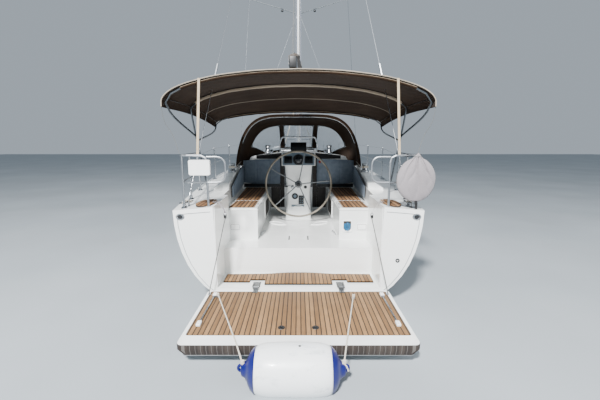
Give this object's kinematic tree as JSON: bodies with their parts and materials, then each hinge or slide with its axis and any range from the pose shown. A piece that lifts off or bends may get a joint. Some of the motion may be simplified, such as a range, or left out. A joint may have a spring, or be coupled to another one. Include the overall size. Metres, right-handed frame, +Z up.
{
  "type": "sailing yacht",
  "caption": "Cruising sloop with an open stern, fold-down bathing platform, single wheel, sprayhood, bimini, mast, boom and furled sails.",
  "frame": {"origin": "amidships in the waterline, on the centreline", "axes": "+X to starboard, +Y to the bow, +Z up"},
  "size_m": [3.429, 11.4965, 16.8227],
  "materials": {
    "gelcoat": "gloss",
    "teak": "matte",
    "stainless": "polished",
    "anodised": "satin",
    "smoked_acrylic": "gloss",
    "canvas": "matte",
    "sail_cover": "matte",
    "sailcloth": "matte",
    "buoy_cover": "matte",
    "grey_panel": "satin",
    "black_plastic": "satin",
    "antifouling": "matte",
    "bronze": "satin",
    "galvanised": "matte",
    "vinyl": "satin",
    "engine_paint": "satin"
  },
  "bodies": {
    "yacht": {"hull": "gelcoat", "cockpit": "gelcoat", "coachroof": "gelcoat", "window_port": "smoked_acrylic", "window_starboard": "smoked_acrylic", "hatch_garage": "gelcoat", "washboard": "smoked_acrylic", "keel": "antifouling", "drive_leg": "grey_panel", "engine": "engine_paint", "transom_step": "teak", "hinge_bracket_port": "stainless", "hinge_bracket_starboard": "stainless", "seat_teak_port": "teak", "seat_teak_starboard": "teak", "coaming_port": "gelcoat", "coaming_starboard": "gelcoat", "winch_port": "stainless", "winch_starboard": "stainless", "pedestal": "gelcoat", "instrument_pod": "grey_panel", "sprayhood": "canvas", "sprayhood_frame": "stainless", "bimini": "canvas", "bimini_bow_aft": "stainless", "bimini_bow_middle": "stainless", "bimini_bow_front": "stainless", "pushpit_port": "stainless", "pushpit_starboard": "stainless", "pulpit": "stainless", "lifelines_port": "stainless", "lifelines_starboard": "stainless", "outboard_board": "gelcoat", "lifebuoy": "buoy_cover", "mast": "anodised", "shrouds_port": "stainless", "shrouds_starboard": "stainless", "backstay": "stainless", "furled_genoa": "sailcloth", "furler_drum": "black_plastic", "bow_roller": "stainless", "anchor": "galvanised"},
    "platform": {"platform": "gelcoat", "platform_teak": "teak", "platform_hinge_port": "stainless", "platform_hinge_starboard": "stainless", "platform_rail_port": "stainless", "platform_rail_starboard": "stainless", "fender": "vinyl"},
    "wheel": {"steering_wheel": "stainless"},
    "rudder": {"rudder": "antifouling"},
    "propeller": {"propeller": "bronze"},
    "boom": {"boom": "anodised", "vang": "anodised", "sail_cover": "sail_cover"},
    "companionway_hatch": {"companionway_hatch": "smoked_acrylic"},
    "foredeck_hatch": {"foredeck_hatch": "smoked_acrylic"},
    "anchor_well_lid": {"anchor_well_lid": "gelcoat"},
    "locker_lid_port": {"locker_lid_port": "teak"},
    "locker_lid_starboard": {"locker_lid_starboard": "teak"}
  },
  "joints": [
    {"name": "platform_fold", "type": "hinge", "parent": "yacht", "child": "platform", "pos_m": [0, -4.862, 0.24], "axis": [-1, 0, 0], "range_deg": [0, 90]},
    {"name": "wheel_turn", "type": "hinge", "parent": "yacht", "child": "wheel", "pos_m": [0, -3.047, 1.214], "axis": [0, 1, 0], "range_deg": [-270, 270]},
    {"name": "rudder_turn", "type": "hinge", "parent": "yacht", "child": "rudder", "pos_m": [0, -4.15, 0], "axis": [0, 0, 1], "range_deg": [-35, 35]},
    {"name": "propeller_spin", "type": "hinge", "parent": "yacht", "child": "propeller", "pos_m": [0, -1.89, -0.79], "axis": [0, 1, 0], "continuous": true},
    {"name": "boom_swing", "type": "hinge", "parent": "yacht", "child": "boom", "pos_m": [0, 0.832, 2.87], "axis": [0, 0, 1], "range_deg": [-66, 66]},
    {"name": "companionway_slide", "type": "slide", "parent": "yacht", "child": "companionway_hatch", "axis": [0, 1, 0], "range_m": [0, 0.55]},
    {"name": "foredeck_hatch_lift", "type": "hinge", "parent": "yacht", "child": "foredeck_hatch", "pos_m": [0, 2.436, 1.606], "axis": [-1, 0, 0], "range_deg": [0, 80]},
    {"name": "anchor_lid_lift", "type": "hinge", "parent": "yacht", "child": "anchor_well_lid", "pos_m": [0, 4.024, 1.474], "axis": [1, 0, 0], "range_deg": [0, 80]},
    {"name": "locker_lid_port_lift", "type": "hinge", "parent": "yacht", "child": "locker_lid_port", "pos_m": [-0.96, 0, 1.013], "axis": [0, -1, 0], "range_deg": [0, 85]},
    {"name": "locker_lid_starboard_lift", "type": "hinge", "parent": "yacht", "child": "locker_lid_starboard", "pos_m": [0.96, 0, 1.013], "axis": [0, 1, 0], "range_deg": [0, 85]}
  ],
  "couplings": [
    {"joint": "rudder_turn", "follows": "wheel_turn", "ratio": 0.1296}
  ]
}
